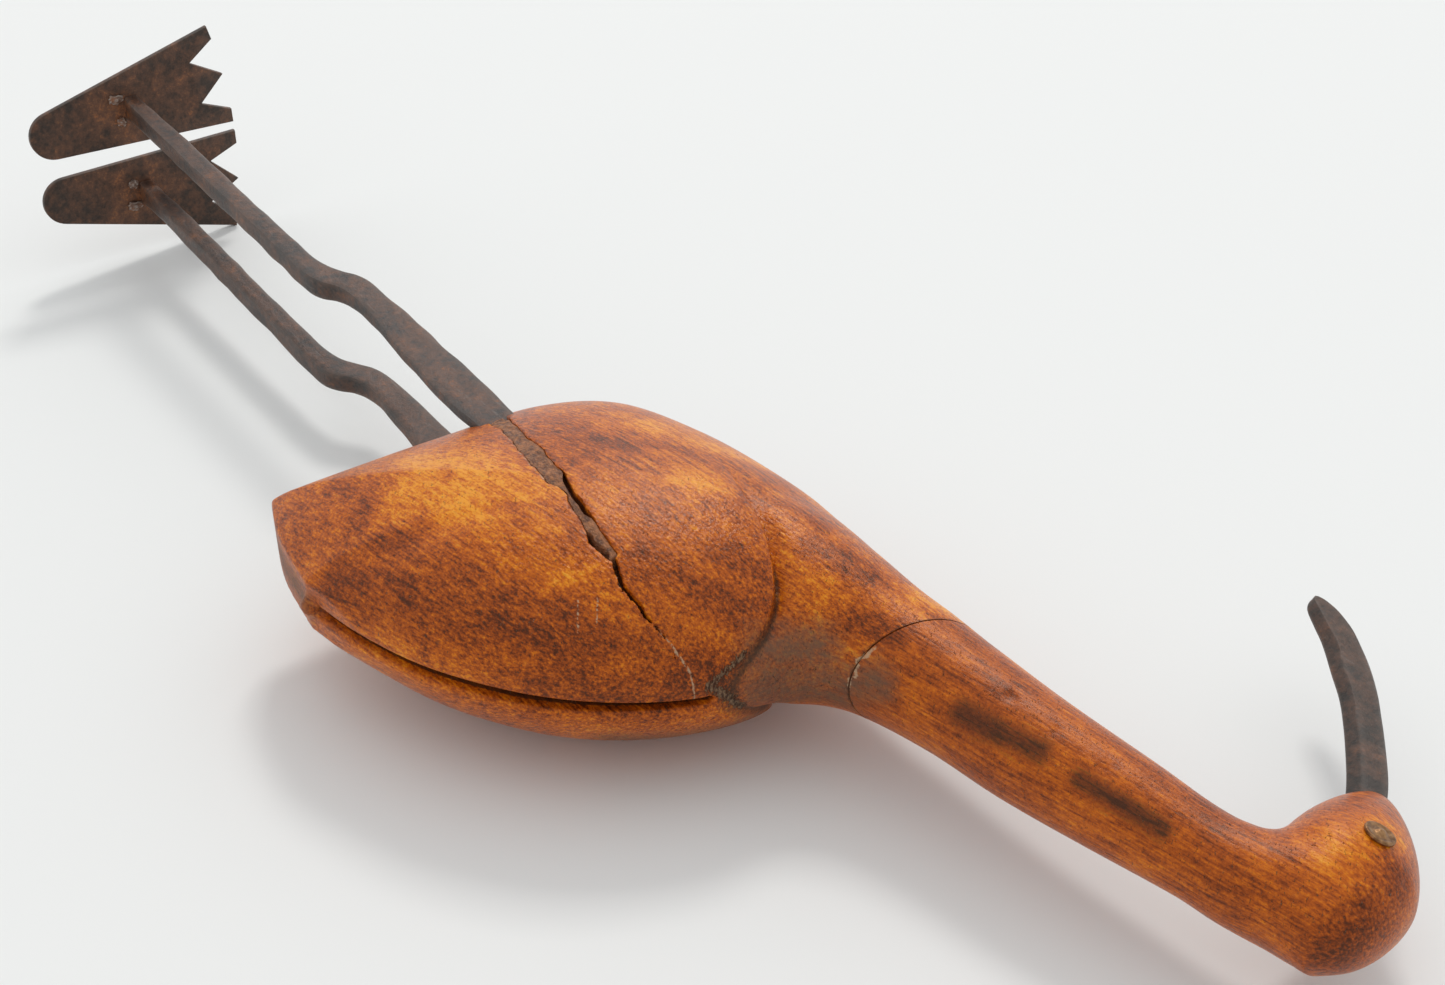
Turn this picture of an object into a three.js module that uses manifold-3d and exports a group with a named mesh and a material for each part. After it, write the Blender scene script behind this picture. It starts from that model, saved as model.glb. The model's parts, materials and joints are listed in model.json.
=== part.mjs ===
// A standing wooden crane figure, carved in two pieces of wood, with a forged
// iron bill, forged iron legs on sheet-iron feet and brass tacks for eyes.
//
// The bird is modelled upright in its own frame, in millimetres: +X forward,
// +Y to its left, +Z up, with the origin on the ground between its legs. Two
// outer groups then lay it down on its right side, with +X along the bird from
// its feet to its head, +Y to its front and +Z up.

import * as THREE from 'three';
import { mergeVertices } from 'three/addons/utils/BufferGeometryUtils.js';
import Module from 'manifold-3d';

const wasm = await Module();
wasm.setup();

// ---- driving dimensions ----

const gap = 0.3; // clearance between two pieces that touch
const curveSteps = 4; // facets between two points of a curved outline

const foot = {
  length: 86,
  thickness: 2.5,
  heelRadius: 10.3,
  toeHalfWidth: 22.3, // outer corner of an outer toe
  toeTipHalfWidth: 16.4, // inner corner of the same toe's cut end
  toeEnd: 84.8,
  notchAt: 73.4,
  notchHalfWidth: 9.5,
  legAt: 46.3, // from the heel to the leg's centre
  splay: 7.3, // degrees that the toes turn out
};

const leg = {
  spacing: 38.6, // between the centres of the two legs
  stepRight: 2.4, // the right knee steps this much further forward than the left
  shinHalfThickness: 3.9,
  thighHalfThickness: 2.1,
  flareHalfThickness: 5.2, // spread end that stands on the foot
  baseX: -1.8, // centre of the foot end, behind the leg's line
  tenon: 4.4,
  top: 334, // end of the tang inside the body
};

const body = {
  centre: [-2, 375],
  halfWidth: 36,
  edge: 1.4, // half the thickness of the outer edge, round the breast and back
  tail: { edge: 6.2, angle: -150, spread: 34 }, // the tail's edge is blunter than the rest
  fullness: 2.0,
  crown: 1.85,
};

// Side view of the body, as x and z, from the breast round over the back.
const bodyOutline = [
  [67, 378], [67, 404], [59, 427], [36, 440], [8, 441], [-20, 431], [-45, 412],
  [-64, 385], [-74, 359], [-79, 334], [-76, 310], [-70.5, 292], [-68, 289.5],
  [-48, 289], [-16, 289], [20, 291], [47, 307], [61, 341],
];

// The back groove between the folded wings, from the tail up to the shoulders.
const grooveLine = [[-79, 332], [-73, 362], [-59, 393], [-38, 418], [-10, 436]];
const groove = { halfWidth: 2.6, depth: 7 };

// Neck stations: x and z of the centre, then the radius.
const neckLine = [
  [26, 402, 19], [37, 426, 21.5], [45, 448, 19.8], [49, 475, 17.1], [51.8, 502, 15.7],
  [56.2, 532, 13.9], [60.2, 556, 12.3], [66, 577, 13],
];

const head = {
  centre: [79.3, 582],
  back: 25.8,
  front: 35.6,
  radius: 18.5,
  roundness: 1.52, // 2 is an ellipse, less is more pointed at the ends
  taper: 0.32, // how much narrower the front end is
  tilt: 25, // degrees that the front end drops
};

const joint = { at: [45, 461], tilt: 17.2 }; // the glued joint at the root of the neck
const dowel = { radius: 5, length: 44, lean: 9 };

const beak = { halfThickness: 3.2, spine: 0.9, backDepth: 5.2, bevelAt: 1.6, edgeDepth: 5.4 };

const eye = { radius: 4.15, height: 1.5, shankRadius: 0.9, shankLength: 9 };
const eyeSeat = { x: 85.2, y: 17.0, z: 585.4, outward: [0.35, 0.91, 0.14] };

// Half the length, width and height of the two beads behind each leg's foot end.
const weld = { outer: [2.6, 1.4, 1.2], inner: [1.6, 1.5, 1.2], front: -5.2, y: 5.0 };

const split = { floor: 20 }; // the packed split goes in to this far from the mid-plane

const lie = { tilt: 1.64, roll: -0.59 }; // degrees that settle the lying bird on its foot and flank

// ---- materials ----

const wood = new THREE.MeshStandardMaterial({ color: 0xa4531b, roughness: 0.42, metalness: 0 });
const filler = new THREE.MeshStandardMaterial({ color: 0x6b3a22, roughness: 0.7, metalness: 0 });
const iron = new THREE.MeshStandardMaterial({ color: 0x453932, roughness: 0.68, metalness: 0.75 });
const steel = new THREE.MeshStandardMaterial({ color: 0x6f6a64, roughness: 0.5, metalness: 0.85 });
const brass = new THREE.MeshStandardMaterial({ color: 0x8a6a3a, roughness: 0.4, metalness: 0.9 });

// ---- solids ----

function toSolid(geometry) {
  const bare = geometry.clone();
  bare.deleteAttribute('normal');
  bare.deleteAttribute('uv');
  const merged = mergeVertices(bare, 1e-4);
  return new wasm.Manifold(new wasm.Mesh({
    numProp: 3,
    vertProperties: new Float32Array(merged.attributes.position.array),
    triVerts: new Uint32Array(merged.index.array),
  }));
}

function toGeometry(solid) {
  const mesh = solid.getMesh();
  const geometry = new THREE.BufferGeometry();
  geometry.setAttribute('position', new THREE.BufferAttribute(mesh.vertProperties, 3));
  geometry.setIndex(new THREE.BufferAttribute(mesh.triVerts, 1));
  geometry.computeVertexNormals();
  return geometry;
}

function moveVertices(geometry, place) {
  const position = geometry.attributes.position;
  const point = new THREE.Vector3();
  for (let i = 0; i < position.count; i += 1) {
    point.fromBufferAttribute(position, i);
    place(point);
    position.setXYZ(i, point.x, point.y, point.z);
  }
  return geometry;
}

// An outline in the XZ plane, as thick as from yMin to yMax.
function sidePlate(shape, yMin, yMax) {
  const options = { depth: yMax - yMin, bevelEnabled: false, curveSegments: curveSteps };
  return new THREE.ExtrudeGeometry(shape, options).rotateX(Math.PI / 2).translate(0, yMax, 0);
}

// An outline in the YZ plane, as long as from xMin to xMax.
function frontPlate(shape, xMin, xMax) {
  const options = { depth: xMax - xMin, bevelEnabled: false, curveSegments: curveSteps };
  const geometry = new THREE.ExtrudeGeometry(shape, options);
  return geometry.rotateX(Math.PI / 2).rotateZ(Math.PI / 2).translate(xMin, 0, 0);
}

function vectors(points) {
  return points.map(([x, z]) => new THREE.Vector2(x, z));
}

function sideCurve(points, closed = false) {
  const places = points.map(([x, z]) => new THREE.Vector3(x, 0, z));
  return new THREE.CatmullRomCurve3(places, closed, 'centripetal');
}

// ---- body ----

// Distance from the body's centre to its side outline, by angle.
function bodyReach() {
  const [cx, cz] = body.centre;
  const samples = sideCurve(bodyOutline, true).getPoints(480).map((p) => ({
    angle: Math.atan2(p.z - cz, p.x - cx),
    reach: Math.hypot(p.x - cx, p.z - cz),
  }));
  samples.sort((a, b) => a.angle - b.angle);
  return (angle) => {
    const after = samples.findIndex((s) => s.angle >= angle);
    if (after <= 0) return samples[0].reach;
    const [a, b] = [samples[after - 1], samples[after]];
    const share = (angle - a.angle) / (b.angle - a.angle || 1);
    return a.reach + share * (b.reach - a.reach);
  };
}

// Half the thickness of the body's outer edge, in the given direction from its centre.
function bodyEdge(angle) {
  const { edge, angle: middle, spread } = body.tail;
  const away = Math.acos(Math.cos(angle - THREE.MathUtils.degToRad(middle)));
  const share = THREE.MathUtils.radToDeg(away) / spread;
  return body.edge + edge * Math.max(0, 1 - share ** 4);
}

function bodyBlank() {
  const reach = bodyReach();
  const [cx, cz] = body.centre;
  return moveVertices(new THREE.SphereGeometry(1, 60, 26), (p) => {
    const out = Math.min(1, Math.hypot(p.x, p.z));
    const angle = Math.atan2(p.z, p.x);
    const rise = (1 - out ** body.fullness) ** (1 / body.crown);
    const onEdge = Math.abs(p.y) < 1e-6;
    const edge = bodyEdge(angle);
    const y = onEdge ? 0 : Math.sign(p.y) * (edge + (body.halfWidth - edge) * rise);
    const r = out < 1e-6 ? 0 : out * reach(angle);
    p.set(cx + r * Math.cos(angle), y, cz + r * Math.sin(angle));
  });
}

function grooveCutter() {
  const { halfWidth, depth } = groove;
  const section = new THREE.Shape(vectors([[-halfWidth, -2], [halfWidth, -2], [0, depth]]));
  const path = sideCurve(grooveLine);
  return new THREE.ExtrudeGeometry(section, { steps: 16, bevelEnabled: false, extrudePath: path });
}

// The split across the left flank, packed with filler: its two edges in side view.
function splitShape(inset) {
  const shape = new THREE.Shape();
  shape.moveTo(-4 + inset, 280);
  shape.lineTo(-3.5 + inset, 312);
  shape.splineThru(vectors([[-10.6 + inset, 342], [-14.6 + inset, 362], [-16.8 + inset, 386]]));
  shape.lineTo(-17 + inset, 406 - inset);
  shape.lineTo(-13.2 - inset, 406 - inset);
  shape.splineThru(vectors([[-11.4 - inset, 386], [-7.6 - inset, 366], [-4.4 - inset, 340]]));
  shape.lineTo(1.6 - inset, 312);
  shape.lineTo(1.6 - inset, 280);
  shape.closePath();
  return shape;
}

// Everything above the glued joint, lifted by the given clearance.
function aboveJoint(lift) {
  const size = 240;
  const [x, z] = joint.at;
  const block = new THREE.BoxGeometry(size, size, size).translate(0, 0, size / 2 + lift);
  return toSolid(block.rotateY(-THREE.MathUtils.degToRad(joint.tilt)).translate(x, 0, z));
}

function dowelShape(clearance) {
  const radius = dowel.radius + clearance;
  const length = dowel.length + 2 * clearance;
  const [x, z] = joint.at;
  const rod = new THREE.CylinderGeometry(radius, radius, length, 24).rotateX(Math.PI / 2);
  return toSolid(rod.rotateY(THREE.MathUtils.degToRad(dowel.lean)).translate(x, 0, z));
}

// ---- neck and head ----

function neckBlank() {
  const centre = sideCurve(neckLine);
  const radii = sideCurve(neckLine.map(([, , r], i) => [i, r]));
  const geometry = new THREE.CylinderGeometry(1, 1, 1, 32, 18);
  return moveVertices(geometry, (p) => {
    const t = Math.min(1, Math.max(0, p.y + 0.5));
    const spread = Math.hypot(p.x, p.z);
    const turn = Math.atan2(p.z, p.x);
    const at = centre.getPoint(t);
    const along = centre.getTangent(t);
    const radius = radii.getPoint(t).z * spread;
    const forward = radius * Math.cos(turn);
    p.set(at.x + forward * along.z, -radius * Math.sin(turn), at.z - forward * along.x);
  });
}

function headBlank() {
  const [cx, cz] = head.centre;
  const geometry = new THREE.SphereGeometry(1, 32, 20).rotateZ(Math.PI / 2);
  moveVertices(geometry, (p) => {
    const ahead = Math.max(0, p.x);
    const ring = Math.sqrt(Math.max(1e-9, 1 - p.x * p.x));
    const fuller = Math.sqrt(Math.max(0, 1 - Math.abs(p.x) ** head.roundness)) / ring;
    const girth = fuller * head.radius * (1 - head.taper * ahead * ahead);
    p.set(p.x * (p.x > 0 ? head.front : head.back), p.y * girth, p.z * girth);
  });
  return geometry.rotateY(THREE.MathUtils.degToRad(head.tilt)).translate(cx, 0, cz);
}

// ---- iron bill ----

function beakOutline() {
  const shape = new THREE.Shape();
  shape.moveTo(112.8, 568.8);
  shape.splineThru(vectors([[122.9, 559.8], [134.7, 548.5], [149.3, 532.3], [156.2, 522.8]]));
  shape.splineThru(vectors([[160, 516], [161.9, 510], [162.6, 503.2]]));
  shape.splineThru(vectors([[161.4, 501.2], [159.4, 502.4]]));
  shape.splineThru(vectors([[151.6, 513], [143.5, 524], [130.5, 539.3], [117.2, 552], [105.5, 562]]));
  shape.closePath();
  return shape;
}

function beakSolid() {
  const { halfThickness: half, spine, backDepth, bevelAt, edgeDepth } = beak;
  const section = new THREE.Shape(vectors([
    [-half, -backDepth], [half, -backDepth], [half, bevelAt], [spine, edgeDepth],
    [-spine, edgeDepth], [-half, bevelAt],
  ]));
  const path = sideCurve([[104, 572], [120, 557], [136, 541], [150, 523], [160, 506], [167, 490]]);
  const options = { steps: 18, bevelEnabled: false, extrudePath: path };
  const bar = toSolid(new THREE.ExtrudeGeometry(section, options));
  return bar.intersect(toSolid(sidePlate(beakOutline(), -half - 1, half + 1))).add(beakTang(0));
}

// The bar's end that is driven into the head.
function beakTang(clearance) {
  const length = 26 + 2 * clearance;
  const box = new THREE.BoxGeometry(length, 4 + 2 * clearance, 5 + 2 * clearance);
  return toSolid(box.rotateY(THREE.MathUtils.degToRad(43)).translate(102.5, 0, 572));
}

// The recess that the root of the bar sits in, at the front of the head.
function beakSocket() {
  const { halfThickness: half, backDepth, edgeDepth } = beak;
  const depth = backDepth + edgeDepth;
  const box = new THREE.BoxGeometry(24, 2 * (half + gap), depth + 2 * gap);
  box.translate(9, 0, (edgeDepth - backDepth) / 2);
  return toSolid(box.rotateY(THREE.MathUtils.degToRad(43)).translate(104, 0, 572));
}

// ---- brass eye tacks ----

// A domed head and its shank, along +Z with the rim's underside at z = 0.
function eyeGeometry(clearance = 0) {
  const { radius, height, shankRadius, shankLength } = eye;
  const shank = shankRadius + clearance;
  const profile = new THREE.Path();
  profile.moveTo(0, -shankLength - clearance);
  profile.lineTo(shank, -shankLength + 2);
  profile.lineTo(shank, clearance);
  if (clearance === 0) {
    profile.lineTo(radius, 0);
    profile.lineTo(radius, 0.5);
    profile.quadraticCurveTo(radius * 0.75, height, 0, height);
  } else {
    profile.lineTo(0, clearance);
  }
  return new THREE.LatheGeometry(profile.getPoints(4), 20).rotateX(Math.PI / 2);
}

function eyeTurn(side) {
  const [x, y, z] = eyeSeat.outward;
  const outward = new THREE.Vector3(x, side * y, z).normalize();
  return new THREE.Quaternion().setFromUnitVectors(new THREE.Vector3(0, 0, 1), outward);
}

function eyePlace(side) {
  return new THREE.Vector3(eyeSeat.x, side * eyeSeat.y, eyeSeat.z);
}

// A shallow flat and a hole in the head under each tack.
function eyeSeatCutter(side) {
  const spot = new THREE.CylinderGeometry(eye.radius + gap, eye.radius + gap, 6, 20);
  spot.rotateX(Math.PI / 2).translate(0, 0, 3 - gap);
  const cutter = [spot, eyeGeometry(gap)].map((g) => {
    g.applyQuaternion(eyeTurn(side));
    const place = eyePlace(side);
    return toSolid(g.translate(place.x, place.y, place.z));
  });
  return cutter[0].add(cutter[1]);
}

// ---- iron legs and feet ----

// Both are modelled round the leg's centre line, at x = 0 and y = 0.

function legSideShape(step) {
  const base = foot.thickness + gap;
  const shape = new THREE.Shape();
  shape.moveTo(1.2, base);
  shape.splineThru(vectors([[1.8, 40], [0.9, 100], [0.2, 150], [0.2, 178]]));
  shape.splineThru(vectors([[1.6, 187], [5.4 + step, 194], [8.2 + step, 201], [9.2 + step, 212]]));
  shape.splineThru(vectors([[9.3 + step, 245], [8.2 + step, 300]]));
  shape.lineTo(6.5 + step, leg.top);
  shape.lineTo(-2.5 + step, leg.top);
  shape.lineTo(-6.2 + step, 300);
  shape.splineThru(vectors([[-4.2 + step, 252], [-1.6 + step, 224], [-1.0 + step, 210]]));
  shape.splineThru(vectors([[-2.0 + step, 202], [-5.6, 196], [-8.2, 189], [-8.5, 180]]));
  shape.splineThru(vectors([[-7.8, 150], [-6.6, 80], [-5.4, 25], [-4.8, base]]));
  shape.closePath();
  return shape;
}

function legFrontShape() {
  const { shinHalfThickness: shin, thighHalfThickness: thigh, flareHalfThickness: flare } = leg;
  const half = [
    [flare, foot.thickness], [flare - 0.4, 8], [shin, 20], [shin, 185], [shin - 0.6, 205],
    [thigh + 0.7, 228], [thigh, 252], [thigh, leg.top + 1],
  ];
  const mirrored = half.map(([y, z]) => [-y, z]).reverse();
  return new THREE.Shape(vectors([...half, ...mirrored]));
}

function legSolid(step) {
  const flat = toSolid(sidePlate(legSideShape(step), -8, 8));
  const bar = flat.intersect(toSolid(frontPlate(legFrontShape(), -14, 14)));
  const tenonTop = 6;
  const tenon = new THREE.BoxGeometry(leg.tenon, leg.tenon, tenonTop - gap);
  return bar.add(toSolid(tenon.translate(leg.baseX, 0, (tenonTop + gap) / 2)));
}

// The mortise that takes one leg's tang, in the belly.
function mortise(side, step) {
  const half = leg.thighHalfThickness + gap;
  const top = leg.top + 1;
  const outline = [[8.6, 296], [6.9, top], [-2.9, top], [-6.6, 296], [-6.5, 270], [9.4, 270]];
  const shape = new THREE.Shape(vectors(outline.map(([x, z]) => [x + step, z])));
  const y = (side * leg.spacing) / 2;
  return toSolid(sidePlate(shape, y - half, y + half));
}

function footShape() {
  const tangentAt = Math.asin(
    (foot.toeHalfWidth - foot.heelRadius) / (foot.toeEnd - foot.heelRadius),
  );
  const heel = new THREE.Path();
  const from = Math.PI / 2 + tangentAt;
  heel.absarc(foot.heelRadius, 0, foot.heelRadius, from, 2 * Math.PI - from, false);
  const upper = [
    [foot.notchAt, foot.notchHalfWidth], [foot.length - 0.5, foot.toeTipHalfWidth],
    [foot.toeEnd, foot.toeHalfWidth],
  ];
  const lower = upper.map(([x, y]) => [x, -y]).reverse();
  const outline = [...heel.getPoints(16), ...vectors([...lower, [foot.length, 0], ...upper])];
  return new THREE.Shape(outline);
}

function footSolid() {
  const options = { depth: foot.thickness, bevelEnabled: false, curveSegments: 10 };
  const plate = new THREE.ExtrudeGeometry(footShape(), options).translate(-foot.legAt, 0, 0);
  const width = leg.tenon + 2 * gap + 1; // wide enough for the foot's turn
  const hole = new THREE.BoxGeometry(width, width, 12).translate(leg.baseX, 0, 0);
  return toSolid(plate).subtract(toSolid(hole));
}

function weldGeometry([length, width, height]) {
  const geometry = new THREE.SphereGeometry(1, 10, 8).rotateX(Math.PI / 2);
  return moveVertices(geometry, (p) => {
    const level = Math.max(p.z, -0.25) + 0.25;
    p.set(p.x * length, p.y * width, level * height);
  });
}

// ---- assembly ----

const bird = new THREE.Group();

function addPiece(name, geometry, material, parent = bird) {
  const mesh = new THREE.Mesh(geometry, material.clone());
  mesh.name = name;
  parent.add(mesh);
  return mesh;
}

const neckSolid = toSolid(neckBlank());
const dowelHole = dowelShape(gap);

function buildBody() {
  let solid = toSolid(bodyBlank()).add(neckSolid.subtract(aboveJoint(0)));
  solid = solid.subtract(toSolid(grooveCutter())).subtract(dowelHole);
  solid = solid.subtract(mortise(1, 0)).subtract(mortise(-1, leg.stepRight));
  const whole = solid;
  const top = 60;
  solid = solid.subtract(toSolid(sidePlate(splitShape(0), split.floor, top)));
  addPiece('body', toGeometry(solid), wood);
  const fillBlank = toSolid(sidePlate(splitShape(gap), split.floor + gap, top));
  addPiece('split_filler', toGeometry(whole.intersect(fillBlank)), filler);
}

function buildNeckAndHead() {
  let solid = neckSolid.intersect(aboveJoint(gap)).add(toSolid(headBlank()));
  solid = solid.subtract(dowelHole).subtract(beakTang(gap)).subtract(beakSocket());
  for (const side of [1, -1]) solid = solid.subtract(eyeSeatCutter(side));
  addPiece('neck_and_head', toGeometry(solid), wood);
  addPiece('beak', toGeometry(beakSolid()), iron);
  addPiece('neck_dowel', toGeometry(dowelShape(0)), wood);
}

function buildEye(name, side) {
  const mesh = addPiece(name, toGeometry(toSolid(eyeGeometry())), brass);
  mesh.quaternion.copy(eyeTurn(side));
  mesh.position.copy(eyePlace(side));
}

function buildLeg(name, side, legGeometry, footGeometry) {
  const group = new THREE.Group();
  group.position.y = (side * leg.spacing) / 2;
  bird.add(group);
  addPiece(`${name}_leg`, legGeometry, iron, group);
  const plate = addPiece(`${name}_foot`, footGeometry, iron, group);
  plate.rotation.z = side * THREE.MathUtils.degToRad(foot.splay);
  for (const [label, outward] of [['outer', side], ['inner', -side]]) {
    const bead = addPiece(`${name}_foot_weld_${label}`, weldGeometry(weld[label]), steel, group);
    bead.position.set(weld.front - weld[label][0], outward * weld.y, foot.thickness + gap);
  }
}

buildBody();
buildNeckAndHead();
buildEye('left_eye', 1);
buildEye('right_eye', -1);
const footGeometry = toGeometry(footSolid());
buildLeg('left', 1, toGeometry(legSolid(0)), footGeometry);
buildLeg('right', -1, toGeometry(legSolid(leg.stepRight)), footGeometry);

// The bird's up, forward and left become +X, +Y and +Z.
bird.applyMatrix4(new THREE.Matrix4().makeBasis(
  new THREE.Vector3(0, 1, 0),
  new THREE.Vector3(0, 0, 1),
  new THREE.Vector3(1, 0, 0),
));

const lying = new THREE.Group();
lying.rotation.set(THREE.MathUtils.degToRad(lie.roll), THREE.MathUtils.degToRad(lie.tilt), 0);
lying.add(bird);
lying.updateMatrixWorld(true);

// The origin is under the middle of the lying bird, on the surface it lies on.
const bounds = new THREE.Box3().setFromObject(lying, true);
const middle = bounds.getCenter(new THREE.Vector3());
const model = new THREE.Group();
lying.position.set(-middle.x, -middle.y, -bounds.min.z);
model.add(lying);
model.updateMatrixWorld(true);

export default model;
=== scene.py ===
"""A carved wooden crane figure lying on its right side, with a forged iron bill and legs.

Shapes are worked out in millimetres in the bird's own upright frame: +x forward, +y to its
left, +z up, with the origin on the ground between its legs. One matrix then lays every mesh
down in the row's frame, in metres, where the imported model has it.
"""
import json
import math

import bmesh
import bpy
import numpy as np
from mathutils import Matrix, Vector, noise


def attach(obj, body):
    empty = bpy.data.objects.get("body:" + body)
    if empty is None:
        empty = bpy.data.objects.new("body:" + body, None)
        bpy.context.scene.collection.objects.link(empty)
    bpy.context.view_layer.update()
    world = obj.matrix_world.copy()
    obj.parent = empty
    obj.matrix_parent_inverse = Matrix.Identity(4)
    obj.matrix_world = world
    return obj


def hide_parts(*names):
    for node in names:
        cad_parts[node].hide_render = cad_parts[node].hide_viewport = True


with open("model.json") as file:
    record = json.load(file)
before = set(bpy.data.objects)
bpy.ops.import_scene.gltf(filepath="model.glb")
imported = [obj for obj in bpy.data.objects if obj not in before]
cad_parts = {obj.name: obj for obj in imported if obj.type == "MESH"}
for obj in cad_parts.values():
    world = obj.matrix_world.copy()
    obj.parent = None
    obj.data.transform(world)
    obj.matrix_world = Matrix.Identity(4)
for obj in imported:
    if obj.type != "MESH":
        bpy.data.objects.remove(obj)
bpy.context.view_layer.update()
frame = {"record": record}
noise.seed_set(1)  # so that the hammered iron comes out the same every time

MM = 0.001

# ---- driving sizes; most of them are the CAD part's as well ----

LIE_TILT = 1.64  # degrees that settle the bird on its toe and flank
LIE_ROLL = -0.59
LEG_SPACING = 38.6
FOOT_SPLAY = 7.3
SOLE_POINT = -25.0  # the sole mounts' place along the foot, from the leg
WELD_FRONT = -5.2  # the front ends of the weld beads, behind the leg
WELD_Y = 5.0  # how far they lie to either side of it

BODY_CENTRE = (-2.0, 375.0)
HALF_WIDTH = 36.0
RIM = 1.4  # half the thickness of the body's outer edge
TAIL_RIM = 6.8  # how much thicker the rim is round the cut tail and the belly behind the legs
FULLNESS = 2.0
CROWN = 1.85
TAIL_CROWN = 1.22  # flatter flanks there, which meet the rim at a clear edge
TAIL_LIP = (-78.4, 0.0, 334.6)  # the small lip where the back's groove runs out over the tail
TAIL_LIP_RADIUS = 3.0

# Side view of the body as x and z, from the tail's upper corner over the back, breast and belly.
BODY_OUTLINE = [
    (-79, 334), (-74, 359), (-64, 385), (-45, 412), (-20, 431), (8, 441), (36, 440), (59, 427),
    (67, 404), (67, 378), (61, 341), (47, 307), (20, 291), (-16, 289), (-48, 289), (-68, 289.5),
]
TAIL_END = [(-68, 289.5), (-70.5, 292), (-76, 310), (-79, 334)]

# Front edge of the left wing as x and z, from the breast up to the back.
WING_EDGE = [
    (44, 352), (40.5, 368), (36.8, 383), (33.4, 397), (29.8, 410), (25, 421), (19.5, 429.5),
    (12.5, 434.5), (4, 436.5), (-5, 436.8),
]

# The split as z, then x of its rear and front edges.
SPLIT_EDGES = [
    (286, 1.6, 8.0), (300, -1.2, 5.4), (312, -3.4, 2.6), (322, -5.4, -0.4), (331, -7.6, -2.8),
    (344, -10.9, -4.6), (356, -13.0, -6.9), (365, -13.9, -8.1), (370, -12.7, -9.4), (377, -14.2, -10.9),
    (388, -16.3, -12.3), (393, -17.5, -12.9), (402, -16.5, -13.6),
]
SPLIT_TOP = 401.0
SPLIT_DEPTH = 5.0

# The open crack that runs on from the split, as x and z, then its half width.
CRACK = [
    (-14.6, 398, 0.75), (-17.0, 409, 0.7), (-16.1, 416, 0.5), (-14.5, 423.5, 0.25), (-12.9, 429, 0.0),
]
CRACK_DEPTH = 4.0
CUTS_FROM_MIDDLE = 9.0  # the split and the crack stay this far from the middle plane
BELLY_RIM = (290, 302)  # except below these heights, where the split runs out at the belly's rim

# Neck stations: z, then x of the centre, then the radius.
NECK = [
    (372, 5, 1), (388, 16, 10), (402, 26, 18), (426, 37, 21.2), (448, 45.4, 19.6), (475, 49.6, 17.0),
    (502, 51.9, 15.7), (532, 56.3, 13.9), (556, 60.2, 12.3), (577, 66, 13), (588, 68, 9),
]
JOINT = (26.3, 453.3)  # a point on the glued joint of the neck, as x and z
JOINT_SLOPE = 0.31
JOINT_GAP = 0.45
JOINT_BELOW = 448.7  # the neck runs down past the joint to this height before it is cut there
JOINT_ABOVE = 470.0  # and the body runs up to this one

HEAD_CENTRE = (79.3, 582.0)
HEAD_BACK = 25.8
HEAD_FRONT = 35.6
HEAD_RADIUS = 18.5
HEAD_TAPER = 0.32
HEAD_ROUNDNESS = 1.52
HEAD_TILT = 25.0

EYE_AT = (85.2, 17.0, 585.4)
EYE_OUTWARD = (0.35, 0.91, 0.14)
EYE_RADIUS = 4.15


def bird_to_row():
    """The matrix from the bird's frame, in millimetres, to the row's frame, in metres."""
    roll = Matrix.Rotation(math.radians(LIE_ROLL), 4, "X")
    tilt = Matrix.Rotation(math.radians(LIE_TILT), 4, "Y")
    lay_down = Matrix(((0, 0, 1, 0), (1, 0, 0, 0), (0, 1, 0, 0), (0, 0, 0, 1)))
    turn = roll @ tilt @ lay_down @ Matrix.Scale(MM, 4)
    splay = math.radians(FOOT_SPLAY)
    sole = Vector((SOLE_POINT * math.cos(splay), LEG_SPACING / 2 + SOLE_POINT * math.sin(splay), 0))
    mount = next(m for m in frame["record"]["mounts"] if m["name"] == "left_sole")
    return Matrix.Translation(Vector(mount["pos_m"]) - turn @ sole) @ turn


BIRD = bird_to_row()


# ---- curves and fields ----

def spline(stations, at):
    """The columns after the first, smoothly interpolated at the given values of the first."""
    table = np.asarray(stations, dtype=float)
    knots, values = table[:, 0], table[:, 1:]
    slopes = np.gradient(values, knots, axis=0)
    at = np.clip(np.asarray(at, dtype=float), knots[0], knots[-1])
    i = np.clip(np.searchsorted(knots, at, side="right") - 1, 0, len(knots) - 2)
    span = knots[i + 1] - knots[i]
    t = ((at - knots[i]) / span)[..., None]
    span = span[..., None]
    start, end = values[i], values[i + 1]
    blend = t * t * (3 - 2 * t)
    lean = slopes[i] * span * t * (1 - t) ** 2 - slopes[i + 1] * span * t * t * (1 - t)
    out = start + (end - start) * blend + lean
    return [out[..., column] for column in range(values.shape[1])]


def smooth_path(points, steps=16):
    """A smooth line through points, as an array with steps rows between two of them."""
    points = np.asarray(points, dtype=float)
    numbers = np.arange(len(points))
    at = np.linspace(0, len(points) - 1, steps * (len(points) - 1) + 1)
    return np.stack(spline(np.column_stack([numbers, points]), at), axis=-1)


def smooth_step(low, high, value):
    t = np.clip((value - low) / (high - low), 0, 1)
    return t * t * (3 - 2 * t)


def plateau(value, start, full, ebb, end):
    """1 from full to ebb, falling smoothly to 0 at start and at end."""
    return smooth_step(start, full, value) * (1 - smooth_step(ebb, end, value))


def smooth_min(a, b, reach):
    h = np.clip(0.5 + 0.5 * (b - a) / reach, 0, 1)
    return b + (a - b) * h - reach * h * (1 - h)


def smooth_max(a, b, reach):
    return -smooth_min(-a, -b, reach)


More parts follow.
